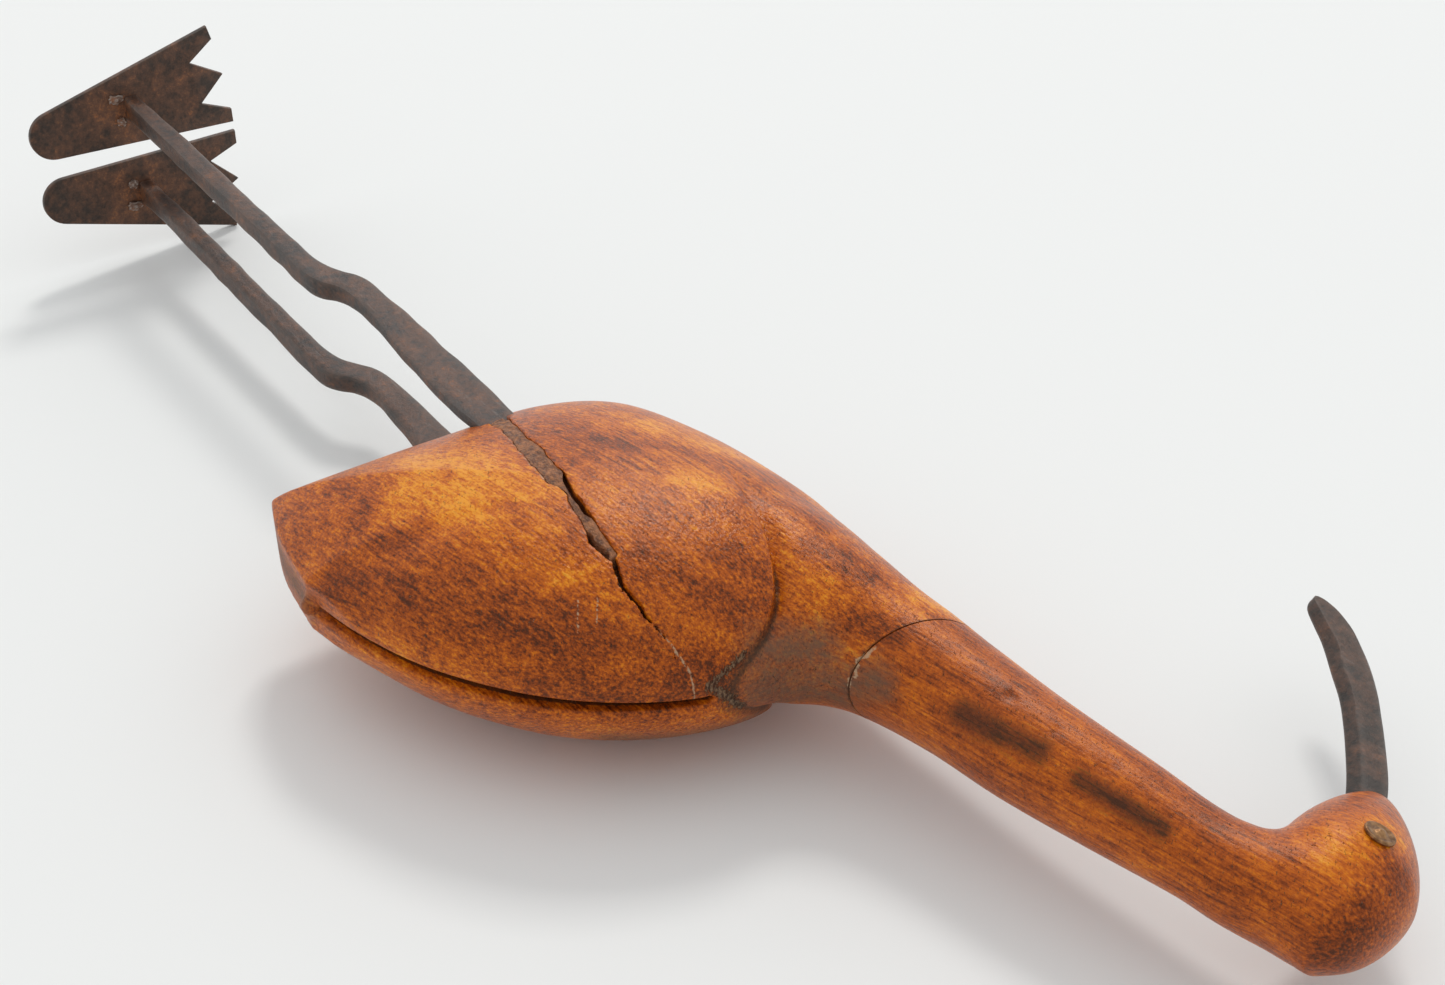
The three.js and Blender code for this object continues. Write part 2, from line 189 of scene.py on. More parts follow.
def polar_reach():
    """Distance from the body's centre to its side outline, as angles and lengths."""
    outline = np.vstack([smooth_path(BODY_OUTLINE), smooth_path(TAIL_END)])
    east = outline[:, 0] - BODY_CENTRE[0]
    up = outline[:, 1] - BODY_CENTRE[1]
    angles = np.arctan2(up, east)
    order = np.argsort(angles)
    return angles[order], np.hypot(east, up)[order]


REACH_ANGLES, REACH_LENGTHS = polar_reach()


def from_body_centre(x, z):
    """Angle, distance from the body's centre, and reach of the outline in that direction."""
    east, up = x - BODY_CENTRE[0], z - BODY_CENTRE[1]
    angle = np.arctan2(up, east)
    reach = np.interp(angle, REACH_ANGLES, REACH_LENGTHS, period=2 * math.pi)
    return angle, np.hypot(east, up), reach


def tail_share(angle):
    """1 round the tail and the rear of the belly, 0 over the back and the breast."""
    return plateau(np.degrees(angle), -173, -157, -108, -62)


def wings_field(x, y, z):
    """The lens shape of the two folded wings, negative inside, roughly in millimetres."""
    angle, distance, reach = from_body_centre(x, z)
    out = distance / reach
    blunt = tail_share(angle)
    rim = RIM + TAIL_RIM * blunt
    crown = CROWN + (TAIL_CROWN - CROWN) * blunt
    rise = np.maximum(np.abs(y) - rim, 0) / (HALF_WIDTH - rim)
    level = out ** FULLNESS + rise ** crown - 1
    steep = np.hypot(FULLNESS * out / reach, crown * rise ** (crown - 1) / HALF_WIDTH)
    return level / np.maximum(steep, 0.02)


def neck_field(x, y, z):
    """The round neck, negative inside, measured square to its leaning axis."""
    centre, radius = spline(NECK, z)
    ahead, _ = spline(NECK, z + 1.0)
    behind, _ = spline(NECK, z - 1.0)
    lean = 1 / np.sqrt(1 + ((ahead - behind) / 2) ** 2)
    return np.maximum(np.sqrt(((x - centre) * lean) ** 2 + y * y) - radius, NECK[0][0] - z)


def head_field(x, y, z):
    """The egg-shaped head, negative inside, with its point towards the bill."""
    tilt = math.radians(HEAD_TILT)
    east, up = x - HEAD_CENTRE[0], z - HEAD_CENTRE[1]
    along = east * math.cos(tilt) - up * math.sin(tilt)
    across = east * math.sin(tilt) + up * math.cos(tilt)
    length = np.where(along > 0, HEAD_FRONT, HEAD_BACK)
    share = np.abs(along) / length
    girth = HEAD_RADIUS * (1 - HEAD_TAPER * np.clip(along / HEAD_FRONT, 0, 1) ** 2)
    spread = np.hypot(across, y) / girth
    level = share ** HEAD_ROUNDNESS + spread ** 2 - 1
    steep = np.hypot(HEAD_ROUNDNESS * share ** (HEAD_ROUNDNESS - 1) / length, 2 * spread / girth)
    return level / np.maximum(steep, 0.03)


def path_distance(path, x, z):
    """Signed distance to a path in the side view, positive on its right, and the share along it."""
    best = np.full(np.broadcast(x, z).shape, 1e9)
    side = np.zeros_like(best)
    share = np.zeros_like(best)
    count = len(path) - 1
    for i in range(count):
        (ax, az), (bx, bz) = path[i][:2], path[i + 1][:2]
        dx, dz = bx - ax, bz - az
        t = np.clip(((x - ax) * dx + (z - az) * dz) / (dx * dx + dz * dz), 0, 1)
        distance = np.hypot(x - ax - t * dx, z - az - t * dz)
        nearer = distance < best
        best = np.where(nearer, distance, best)
        side = np.where(nearer, (x - ax) * dz - (z - az) * dx, side)
        share = np.where(nearer, (i + t) / count, share)
    return best * np.where(side < 0, -1, 1), share


WING_PATH = smooth_path(WING_EDGE, 6)
WING_STEP_DEPTH = 4.2
WING_STEP_WIDTH = 4.2
WING_EDGE_WORN = 1.2  # how far the edge itself is worn down


def wing_step(x, z):
    """How far the surface sinks on either side of the wings' front edges."""
    across, share = path_distance(WING_PATH, x, z)
    depth = WING_STEP_DEPTH * smooth_step(0.1, 0.6, share) * (1 - 0.5 * smooth_step(0.62, 0.86, share))
    fade = smooth_step(-40, -12, across)
    valley = depth * np.exp(-(np.maximum(across, 0) / WING_STEP_WIDTH) ** 1.5)
    edge = np.minimum(depth, WING_EDGE_WORN) * np.exp(np.minimum(across, 0) / 1.3)
    front = smooth_step(-0.35, 0.35, across)
    return (valley * front + edge * (1 - front)) * fade


GROOVE_DEPTH = 8.0
GROOVE_HALF_WIDTH = 2.3
GROOVE_SHUT = 6.0  # how far its walls are drawn together where there is no groove
GROOVE_LEAN = 0.93  # turns widths into distances from its leaning walls
GROOVE_ROUNDING = 1.3
LIP_ROUNDING = 1.6


def groove_field(x, y, z):
    """The gap between the two wings along the back, negative inside it."""
    angle, distance, reach = from_body_centre(x, z)
    inward = reach - distance
    turn = np.degrees(angle) % 360
    there = plateau(turn, 89, 95, 205, 212)
    width = GROOVE_HALF_WIDTH * (0.6 + 0.4 * smooth_step(95, 150, turn))
    half = width * (1 - inward / GROOVE_DEPTH) * there - GROOVE_SHUT * (1 - there)
    return (np.abs(y) - half) * GROOVE_LEAN


def ball_field(x, y, z, centre, radius):
    return np.sqrt((x - centre[0]) ** 2 + (y - centre[1]) ** 2 + (z - centre[2]) ** 2) - radius


BACK_BLEND = 9.0  # how widely the neck's root melts into the back, and into the breast
BREAST_BLEND = 20.0


def carved_field(x, y, z):
    """The body and neck, before they split."""
    wings = smooth_max(wings_field(x, y, z), -groove_field(x, y, z), GROOVE_ROUNDING)
    wings = smooth_min(wings, ball_field(x, y, z, TAIL_LIP, TAIL_LIP_RADIUS), LIP_ROUNDING)
    reach = BACK_BLEND + (BREAST_BLEND - BACK_BLEND) * smooth_step(24, 48, x)
    return smooth_min(wings, neck_field(x, y, z), reach) + wing_step(x, z)


def jag(z, size, pitch, phase=0.0):
    """A small irregular swing along z."""
    return size * (np.sin(z / pitch + phase) + 0.6 * np.sin(z / pitch * 2.3 + 1.3 + phase)) / 1.6


def split_field(x, z, rear_gap=0.0, front_gap=0.0):
    """The split's side-view outline, negative inside; the gaps draw its edges in."""
    rear, front = spline(SPLIT_EDGES, z)
    rear = rear + jag(z, 0.35, 2.1) + rear_gap
    front = front + jag(z, 0.3, 2.9, 2.0) - front_gap
    return np.maximum(np.maximum(rear - x, x - front) * 0.95, z - SPLIT_TOP)


CRACK_PATH = smooth_path(CRACK, 5)


def crack_field(x, z):
    """The crack's side-view outline, negative inside."""
    best, share = path_distance(CRACK_PATH, x, z)
    half = np.interp(share, np.linspace(0, 1, len(CRACK)), [c[2] for c in CRACK])
    wobble = jag(z, 0.35, 1.7)
    return np.abs(best + wobble) - half


def left_limit(y, z):
    """Positive where the cuts in the left flank must not reach."""
    return CUTS_FROM_MIDDLE * smooth_step(*BELLY_RIM, z) - y


def body_field(x, y, z):
    """The body up past the joint, with the split and the crack cut out."""
    shape = carved_field(x, y, z)
    shallow = -(shape + SPLIT_DEPTH)
    left = left_limit(y, z)
    split = np.maximum(np.maximum(split_field(x, z), shallow), left)
    crack = np.maximum(np.maximum(crack_field(x, z), -(shape + CRACK_DEPTH)), left)
    return np.maximum(np.maximum(shape, z - JOINT_ABOVE), np.maximum(-split, -crack))


# Small dents in the neck and head: a point on the surface, then radius and depth.
DENTS = [
    ((48.2, 16.2, 495.5), 1.9, 0.8), ((50.0, 12.5, 511.0), 2.2, 0.7), ((51.5, 11.0, 527.5), 2.0, 0.8),
    ((84.0, 12.0, 597.5), 1.6, 0.6), ((66.0, 12.6, 594.5), 1.8, 0.5),
]


def dents(x, y, z):
    """How far the surface sinks in the dents."""
    total = 0.0
    for centre, radius, depth in DENTS:
        away = ball_field(x, y, z, centre, 0.0) / radius
        total = total + depth * np.exp(-away ** 2)
    return total


THROAT = (66, 575)  # a point between throat and nape, as x and z
THROAT_BLEND = 5.0  # how widely the head melts into the neck on either side of it
NAPE_BLEND = 8.5


def neck_and_head_field(x, y, z):
    """The neck from below the joint, and the head."""
    neck = np.maximum(carved_field(x, y, z), z - NECK[-1][0])
    behind = (z - THROAT[1]) - (x - THROAT[0])
    reach = THROAT_BLEND + (NAPE_BLEND - THROAT_BLEND) * smooth_step(-16, 10, behind)
    whole = smooth_min(neck, head_field(x, y, z), reach) + dents(x, y, z)
    return np.maximum(whole, JOINT_BELOW - z)


# Where the filler has shrunk from the split's edges: how far, then the four heights of plateau().
FRONT_GAPS = [(1.5, 361, 367, 382, 388), (1.2, 288, 292, 308, 316)]
REAR_GAPS = [(1.7, 388, 392, 399, 401)]
LEAST_GAP = 0.15
FILLER_SUNK = 0.3  # how far its top lies below the wood
FILLER_DEPTH = 4.8


def gap(gaps, z):
    return LEAST_GAP + sum(size * plateau(z, *heights) for size, *heights in gaps)


def filler_field(x, y, z):
    """The packing in the split: lower than the wood, pitted, and shrunk away from it in places."""
    shape = carved_field(x, y, z)
    pits = 0.28 * np.sin(z / 1.9 + np.sin(x * 1.3)) * np.sin(x / 1.1 + y / 1.7 + 0.5)
    outline = split_field(x, z, gap(REAR_GAPS, z), gap(FRONT_GAPS, z))
    bottom = np.maximum(-(shape + FILLER_DEPTH), left_limit(y, z))
    return np.maximum(np.maximum(shape + FILLER_SUNK + pits, outline), bottom)


# ---- meshes ----

def field_gradient(field, points):
    step = 0.05
    x, y, z = points.T
    return np.stack([
        field(x + step, y, z) - field(x - step, y, z),
        field(x, y + step, z) - field(x, y - step, z),
        field(x, y, z + step) - field(x, y, z - step),
    ], axis=-1) / (2 * step)


def crossings(value, axis):
    """Where the field changes sign along an axis: the places, and the four cells round each."""
    u, v = (axis + 1) % 3, (axis + 2) % 3
    first = np.take(value, range(value.shape[axis] - 1), axis)
    second = np.take(value, range(1, value.shape[axis]), axis)
    crossing = np.argwhere((first < 0) != (second < 0))
    a, b = first[tuple(crossing.T)], second[tuple(crossing.T)]
    place = crossing.astype(float)
    place[:, axis] += a / (a - b)
    ring = []
    for back_u, back_v in ((0, 0), (1, 0), (1, 1), (0, 1)):
        cell = crossing.copy()
        cell[:, u] -= back_u
        cell[:, v] -= back_v
        ring.append(np.ravel_multi_index(tuple(cell.T), value.shape))
    ring = np.stack(ring, axis=1)
    ring[a > 0] = ring[a > 0][:, ::-1]
    return place, ring


def settle(field, points, step):
    """The points moved onto the surface where the field is zero."""
    for _ in range(3):
        slope = field_gradient(field, points)
        steepness = np.maximum((slope ** 2).sum(axis=1), 0.05)
        move = -(field(*points.T) / steepness)[:, None] * slope
        points = points + np.clip(move, -0.4 * step, 0.4 * step)
    return points


def surface_net(field, low, high, step):
    """Points and quads of the closed surface where the field is zero, on a grid of that step."""
    axes = [np.arange(a, b + step, step) for a, b in zip(low, high)]
    value = field(*np.meshgrid(*axes, indexing="ij", sparse=True))
    places, cells = [np.vstack(rows) for rows in zip(*(crossings(value, axis) for axis in range(3)))]
    names, numbers = np.unique(cells, return_inverse=True)
    numbers = numbers.reshape(-1, 4)
    share = np.bincount(numbers.ravel(), minlength=len(names))[:, None]
    total = np.stack([
        np.bincount(numbers.ravel(), np.repeat(places[:, k], 4), len(names)) for k in range(3)
    ], axis=-1)
    return settle(field, np.asarray(low) + total / share * step, step), numbers


def finish_piece(name, mesh, material, replaced, sharp=35):
    """The piece with this mesh, laid down from the bird's frame in the row's."""
    mesh.transform(BIRD)
    mesh.shade_smooth()
    mesh.set_sharp_from_angle(angle=math.radians(sharp))
    mesh.materials.append(material)
    mesh.update()
    piece = bpy.data.objects.new(name, mesh)
    bpy.context.collection.objects.link(piece)
    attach(piece, "root")
    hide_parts(*replaced)
    return piece


def mesh_of(name, points, faces):
    mesh = bpy.data.meshes.new(name)
    mesh.from_pydata([tuple(p) for p in points], [], [tuple(f) for f in faces])
    return mesh


def write_mesh(work, mesh):
    """Fills the mesh from a bmesh, which ends there."""
    work.to_mesh(mesh)
    work.free()
    return mesh


def recalc_outward(mesh):
    work = bmesh.new()
    work.from_mesh(mesh)
    bmesh.ops.recalc_face_normals(work, faces=work.faces)
    return write_mesh(work, mesh)


def cut_at_joint(mesh, keep_above, shift):
    """Cuts a mesh, in the bird's frame, at the neck's glued joint and closes the cut."""
    normal = Vector((-JOINT_SLOPE, 0, 1)).normalized()
    place = Vector((JOINT[0], 0, JOINT[1])) + normal * shift
    work = bmesh.new()
    work.from_mesh(mesh)
    geometry = work.verts[:] + work.edges[:] + work.faces[:]
    cut = bmesh.ops.bisect_plane(
        work, geom=geometry, plane_co=place, plane_no=normal,
        clear_outer=not keep_above, clear_inner=keep_above,
    )
    rim = [e for e in cut["geom_cut"] if isinstance(e, bmesh.types.BMEdge)]
    bmesh.ops.holes_fill(work, edges=rim, sides=0)
    bmesh.ops.recalc_face_normals(work, faces=work.faces)
    write_mesh(work, mesh)


def loft(rings):
    """Points and faces of a closed skin over rings of equal counts."""
    rings = np.asarray(rings)
    count, around = rings.shape[:2]
    points = rings.reshape(-1, 3)
    faces = []
    for near in range(0, (count - 1) * around, around):
        far = near + around
        for j in range(around):
            k = (j + 1) % around
            faces.append((near + j, near + k, far + k, far + j))
    faces.append(tuple(reversed(range(around))))
    faces.append(tuple(range((count - 1) * around, count * around)))
    return points, faces


def hammered(points, size, scale, seed):
    """The points moved a little, as a hammer leaves them."""
    moved = np.array(points, dtype=float)
    for p in moved:
        p += np.array(noise.noise_vector(Vector(p) / scale + Vector((seed, 0, 0)))) * size
    return moved


# ---- paint: where the wood is stained, burnt or worn, and where shade is painted into its cuts ----

def capsule(points, start, end, radius):
    """1 on the line from start to end, falling to 0 at the radius."""
    start, end = np.asarray(start, float), np.asarray(end, float)
    line = end - start
    t = np.clip((points - start) @ line / max(line @ line, 1e-9), 0, 1)
    distance = np.linalg.norm(points - start - t[:, None] * line, axis=1)
    return 1 - smooth_step(0, radius, distance)


def paint(mesh, name, values):
    layer = mesh.attributes.new(name, "FLOAT", "POINT")
    layer.data.foreach_set("value", np.asarray(values, dtype=np.float32))


# Each is a line between two points in the bird's frame, then how far its stain reaches.
STAINS = {
    "burn": [
        ((37.6, 10, 488), (43.0, 12, 512), 7.5), ((40, 11, 499), (43.6, 12, 512), 5.5),
        ((45.3, 10.4, 525), (50.0, 10, 549), 6.0),
    ],
    "grey": [
        ((8, -2, 438), (22, -4, 443), 15), ((10, 9, 436), (24, 8, 443), 15),
        ((26, 0, 452), (30, 6, 462), 13), ((8.5, 2, 440), (27, 0, 453), 15),
        ((16, -9, 440), (27, -6, 450), 12), ((-26, -16, 418), (10, -14, 432), 15),
        ((-78, 0, 332), (-70, 0, 292), 11),
    ],
    "dark": [
        ((-46, 6, 412), (-4, 8, 436), 15), ((-72, 10, 345), (-62, 14, 372), 15),
        ((-62, 14, 380), (-20, 16, 424), 15), ((-60, 21, 345), (-52, 24, 352), 9),
        ((-57, 23, 330), (-60, 20, 336), 8), ((-42, 26, 392), (-30, 22, 406), 10),
        ((4, 23, 425), (16, 20, 432), 12), ((-8, 29, 406), (2, 24, 424), 12),
        ((10, 28, 414), (18, 24, 424), 10), ((-22, 26, 302), (-26, 30, 318), 8),
        ((12, 34, 352), (16, 34, 362), 8), ((70, 7, 600), (60, 2, 596), 13),
        ((84, 13, 594), (80, 12, 598), 9), ((69, 11.5, 595), (70, 11.5, 596), 4),
        ((32, 16, 446), (40, 16, 458), 8), ((38, 24, 424), (46, 20, 440), 9),
        ((-19.9, 34.7, 366), (-19.9, 34.7, 366.5), 2.8), ((23.1, 33, 364), (23.1, 33, 364.5), 2.8),
        ((-30.3, 12.8, 420), (-30.3, 12.8, 420.5), 3.2),
    ],
    "amber": [
        ((-46, 26, 340), (-32, 32, 360), 18), ((-32, 28, 322), (-20, 34, 366), 16),
        ((26, 28, 345), (50, 18, 372), 15), ((58, 12, 395), (62, 8, 425), 14),
        ((54, 17, 452), (62, 12, 462), 9), ((60, 10, 480), (66, 6, 540), 7),
        ((72, 14, 582), (88, 14, 584), 11), ((20, 33, 384), (26, 32, 392), 9),
        ((-34, 24, 396), (-28, 26, 398), 5),
    ],
    "pitted": [((4, 34, 384), (24, 30, 408), 26), ((-40, 24, 385), (-10, 22, 412), 22)],
    "soil": [((4.5, 11, 436), (-7, 5, 436), 2.0), ((-7, 5, 436), (3, -6, 436.5), 2.9)],
}


def paint_stains(mesh, points):
    for name, spots in STAINS.items():
        total = np.zeros(len(points))
        for start, end, radius in spots:
            total = np.maximum(total, capsule(points, start, end, radius))
        paint(mesh, name, total)


# A hairline over the crack, two short scratches across the wing, and one along the split's rear
# edge, all as x and z.
HAIRLINES = [
    [(-15.5, 420), (-14.5, 423.5), (-13.7, 426), (-12.5, 430), (-11.2, 433), (-11.6, 436)],
    [(-29.1, 405), (-33.0, 411)], [(-24.7, 408), (-27.8, 412.4)],
    [(-5.7, 322), (-8.0, 331), (-11.3, 344), (-13.4, 356), (-14.3, 364), (-13.2, 369)],
]


FAR = 9.0  # stands for any distance that is well away from a line
FLAKES = ((31, 10.6, 454.6), (27, -2, 453.4), 8)  # the stretch of the joint with pale flakes of glue
GROOVED = (4.5, 0, 436)  # the groove's wood lies within this half width, and below this x and z


def inside_cuts(x, y, z):
    """1 on wood inside the split, the crack and the groove between the wings, which gets painted shade,
    0 elsewhere.
    """
    buried = smooth_step(0.4, 1.3, -carved_field(x, y, z)) * (z < JOINT_BELOW)
    near_groove = (np.abs(y) < GROOVED[0]) & (x < GROOVED[1]) & (z < GROOVED[2])
    return np.maximum(buried, smooth_step(0.8, 3.2, -wings_field(x, y, z)) * near_groove)


def paint_lines(mesh, points):
    """How far each point is from the hairlines, and from the wing's front edge and the glued joint. Wood
    inside the cuts and the groove counts as on the edge, so that it takes the crease's dark colour as
    painted shade."""
    x, y, z = points.T
    away = np.full(len(points), FAR)
    for line in HAIRLINES:
        away = np.minimum(away, np.abs(path_distance(line, x, z)[0]))
    seam = z - JOINT[1] - JOINT_SLOPE * (x - JOINT[0])
    chalky = smooth_step(0, 0.4, capsule(points, *FLAKES))
    flakes = np.abs(seam - 0.6 + jag(y, 1.0, 1.1)) + FAR * (1 - chalky)
    paint(mesh, "hairline", np.where(y > 0, np.minimum(away, 0.55 * flakes), FAR))
    across, share = path_distance(WING_PATH, x, z)
    crease = np.abs(across - 0.5) + FAR * (1 - smooth_step(0.25, 0.6, share))
    crease = np.minimum(crease, 0.3 + 1.3 * np.abs(seam + jag(y, 0.25, 0.9)))
    # wood inside the cuts and the groove gets the crease's dark colour as painted shade
    paint(mesh, "crease", crease * (1 - inside_cuts(x, y, z)))


def paint_wood(mesh):
    """Painted before the mesh is laid down, while it is in the bird's frame."""
    points = np.empty(len(mesh.vertices) * 3)
    mesh.vertices.foreach_get("co", points)
    points = points.reshape(-1, 3)
    paint_stains(mesh, points)
    paint_lines(mesh, points)


# ---- materials ----

class Nodes:
    """A material's node tree, with short calls for what the materials below repeat."""

    def __init__(self, name, grain=(0, 0, 0)):
        self.grain = grain
        self.material = bpy.data.materials.new(name)
        self.material.use_nodes = True
        self.tree = self.material.node_tree
        self.shader = self.tree.nodes["Principled BSDF"]
        self.place = self.add("ShaderNodeTexCoord").outputs["Object"]

    def add(self, kind, inputs=None, **settings):
        node = self.tree.nodes.new(kind)
        for key, value in settings.items():
            setattr(node, key, value)
        for key, value in (inputs or {}).items():
            self.put(node.inputs[key], value)
        return node

    def put(self, socket, value):
        if isinstance(value, bpy.types.NodeSocket):
            self.tree.links.new(value, socket)
        elif isinstance(value, tuple) and len(value) == 3 and socket.type == "RGBA":
            socket.default_value = (*value, 1)
        else:
            socket.default_value = value

    def stretch(self, scale, offset=(0, 0, 0), turn=None):
        """Object coordinates in millimetres, turned as the grain or as given, and then scaled."""
        turned = self.add("ShaderNodeMapping", {"Vector": self.place, "Rotation": turn or self.grain})
        inputs = {"Vector": turned.outputs[0], "Scale": tuple(s / MM for s in scale), "Location": offset}
        return self.add("ShaderNodeMapping", inputs).outputs[0]

    def noise(self, vector, scale=1.0, detail=4.0, roughness=0.55, distortion=0.0):
        inputs = {
            "Vector": vector, "Scale": scale, "Detail": detail, "Roughness": roughness,
            "Distortion": distortion,
        }
        return self.add("ShaderNodeTexNoise", inputs).outputs["Fac"]

    def ramp(self, value, low, high, start=0.0, end=1.0):
        """value from low..high to start..end, held outside."""
        inputs = {"Value": value, "From Min": low, "From Max": high, "To Min": start, "To Max": end}
        return self.add("ShaderNodeMapRange", inputs).outputs[0]

    def math(self, operation, a, b=0.0):
        node = self.add("ShaderNodeMath", operation=operation)
        self.put(node.inputs[0], a)
        self.put(node.inputs[1], b)
        return node.outputs[0]

    def ragged(self, value, pattern, size):
        """value pushed up and down by a pattern, so that its edge is no smooth line."""
        swing = self.math("MULTIPLY", self.math("SUBTRACT", pattern, 0.5), size)
        return self.math("ADD", value, swing)

    def mix(self, share, a, b):
        node = self.add("ShaderNodeMix", data_type="RGBA")
        self.put(node.inputs[0], share)
        self.put(node.inputs[6], a)
        self.put(node.inputs[7], b)
        return node.outputs[2]

    def colour_ramp(self, value, stops):
        """Colours by value; stops holds positions and colours, from the lowest up."""
        node = self.add("ShaderNodeValToRGB", {"Fac": value})
        elements = node.color_ramp.elements
        while len(elements) < len(stops):
            elements.new(0.5)
        for element, (position, colour) in zip(elements, stops):
            element.position = position
            element.color = (*colour, 1)
        return node.outputs[0]

    def attribute(self, name):
        return self.add("ShaderNodeAttribute", attribute_name=name).outputs["Fac"]

    def bump(self, height, distance, strength=1.0, under=None):
        inputs = {"Height": height, "Distance": distance * MM, "Strength": strength}
        node = self.add("ShaderNodeBump", inputs)
        if under is not None:
            self.put(node.inputs["Normal"], under)
        return node.outputs[0]

    def finish(self, **inputs):
        for key, value in inputs.items():
            self.put(self.shader.inputs[key.replace("_", " ")], value)
        return self.material


WOOD_TONES = [
    (0.0, (0.075, 0.014, 0.003)), (0.2, (0.200, 0.034, 0.003)), (0.4, (0.375, 0.071, 0.004)),
    (0.6, (0.550, 0.122, 0.004)), (0.8, (0.700, 0.208, 0.006)), (1.0, (0.820, 0.320, 0.020)),
]


def wood_tone(m, ruddy, contrast):
    """Old varnish: patches, ragged mottling, fine fibres and specks, as one value from dark to light."""
    broad = m.stretch((0.028, 0.045, 0.045))
    patches = m.noise(broad, detail=6, roughness=0.62, distortion=0.9)
    mottle = m.noise(m.stretch((0.22, 0.44, 0.44), (3, 1, 0)), detail=7, roughness=0.75)
    fibres = m.noise(m.stretch((0.05, 1.15, 1.15), (0, 5, 2)), detail=4, roughness=0.6)
    specks = m.noise(m.stretch((0.9, 1.3, 1.3), (7, 0, 4)), detail=3, roughness=0.65)
    shares = [
        (patches, 0.95 * contrast), (mottle, 1.3 * contrast), (fibres, 1.15), (specks, 1.1 * contrast),
    ]
    tone = 0.5 - ruddy - 0.5 * sum(share for value, share in shares)
    blotchy = m.math("ADD", 0.4, m.math("MULTIPLY", mottle, 1.2))
    shares += [(m.math("MULTIPLY", m.attribute("amber"), blotchy), 0.34)]
    shares += [(m.math("MULTIPLY", m.attribute("dark"), blotchy), -0.27)]
    for value, share in shares:
        tone = m.math("ADD", m.math("MULTIPLY", value, share), tone)
    return tone, mottle, fibres, specks


DARK_FLECK = (0.060, 0.014, 0.005)
GREYED_WOOD = (0.118, 0.072, 0.050)
SCORCHED_WOOD = (0.022, 0.008, 0.005)
# dirt along the wing's edge and the joint, and painted shade inside the split, the crack and the groove
CREASE_DIRT_AND_SHADE = (0.040, 0.020, 0.012)
DAMP_SOIL = (0.040, 0.022, 0.014)
DRY_SOIL = (0.250, 0.155, 0.088)
RAW_WOOD = (0.50, 0.33, 0.20)


def stained(m, colour, flecks, mottle, fibres):
    """The colour with dark flecks, then grey and scorched patches with ragged edges."""
    colour = m.mix(m.ramp(flecks, 0.64, 0.74, 0, 0.6), colour, DARK_FLECK)
    grey = m.ragged(m.attribute("grey"), mottle, 1.9)
    colour = m.mix(m.ramp(grey, 0.2, 1.1, 0, 0.86), colour, GREYED_WOOD)
    scorch = m.ragged(m.ragged(m.attribute("burn"), mottle, 1.2), fibres, 1.7)
    return m.mix(m.ramp(scorch, 0.34, 1.08, 0, 0.92), colour, SCORCHED_WOOD)


def dirtied_and_shaded(m, colour, flecks, specks, crumbs, soiled):
    """The colour with dirt along the wing's edge and the joint, painted shade inside the split, the
    crack and the groove, crumbs of soil, and raw wood in the hairlines.
    """
    dirt_and_shade = m.ragged(m.attribute("crease"), specks, 1.2)
    # painted shade inside the cuts and the groove, and dirt along the wing's edge and the joint
    colour = m.mix(m.ramp(dirt_and_shade, 0.2, 1.0, 0.8, 0), colour, CREASE_DIRT_AND_SHADE)
    colour = m.mix(soiled, colour, m.mix(m.ramp(crumbs, 0.44, 0.60), DAMP_SOIL, DRY_SOIL))
    pale = m.ragged(m.attribute("hairline"), flecks, 0.8)
    return m.mix(m.ramp(pale, 0.12, 0.34, 0.8, 0), colour, RAW_WOOD)


def wood_roughness(m, mottle):
    """Glossy varnish: duller where it has gone grey, and glossier where it is pitted."""
    dull = m.math("MULTIPLY", m.attribute("grey"), 0.25)
    rough = m.math("ADD", m.ramp(mottle, 0.35, 0.65, 0.27, 0.38), dull)
    return m.math("SUBTRACT", rough, m.math("MULTIPLY", m.attribute("pitted"), 0.12))


def wood_bump(m, mottle, fibres, flecks, crumbs, soiled):
    """Fine grain, broad unevenness, a leathery surface where it is pitted, and lumps of soil."""
    leather = m.noise(m.stretch((0.75, 0.9, 0.9), (2, 2, 9)), detail=2, roughness=0.5)
    worn = m.math("MULTIPLY", leather, m.ramp(m.attribute("pitted"), 0, 0.8, 0.15, 1))
    grain = m.bump(m.math("ADD", m.math("MULTIPLY", fibres, 0.8), flecks), 0.16, 0.6)
    normal = m.bump(worn, 0.5, 0.7, m.bump(mottle, 0.5, 0.35, grain))
    return m.bump(m.math("MULTIPLY", crumbs, soiled), 1.6, 0.8, normal)


def wood_material(name, grain, ruddy, contrast):
    """Old varnished wood: amber to dark red-brown, with stains, scorches, dirt in its creases and
    painted shade inside its cuts and groove.
    """
    m = Nodes(name, grain)
    tone, mottle, fibres, specks = wood_tone(m, ruddy, contrast)
    flecks = m.noise(m.stretch((0.28, 1.5, 1.5), (1, 8, 4)), detail=3, roughness=0.6)
    crumbs = m.noise(m.stretch((0.8, 1.6, 0.8), (3, 3, 1), (0, 0, 0.9)), detail=4, roughness=0.7)
    soiled = m.ramp(m.ragged(m.attribute("soil"), crumbs, 2.6), 0.3, 0.7, 0, 0.92)
    colour = stained(m, m.colour_ramp(tone, WOOD_TONES), flecks, mottle, fibres)
    colour = dirtied_and_shaded(m, colour, flecks, specks, crumbs, soiled)
    normal = wood_bump(m, mottle, fibres, flecks, crumbs, soiled)
    m.finish(Specular_IOR_Level=0.34, Specular_Tint=(1.0, 0.80, 0.62))
    return m.finish(Base_Color=colour, Roughness=wood_roughness(m, mottle), Normal=normal)


FILLER_DARK = (0.150, 0.052, 0.022)
FILLER_WARM = (0.600, 0.235, 0.090)
FILLER_PALE_FIBRE = (0.70, 0.46, 0.28)
FILLER_DARK_FIBRE = (0.060, 0.022, 0.012)


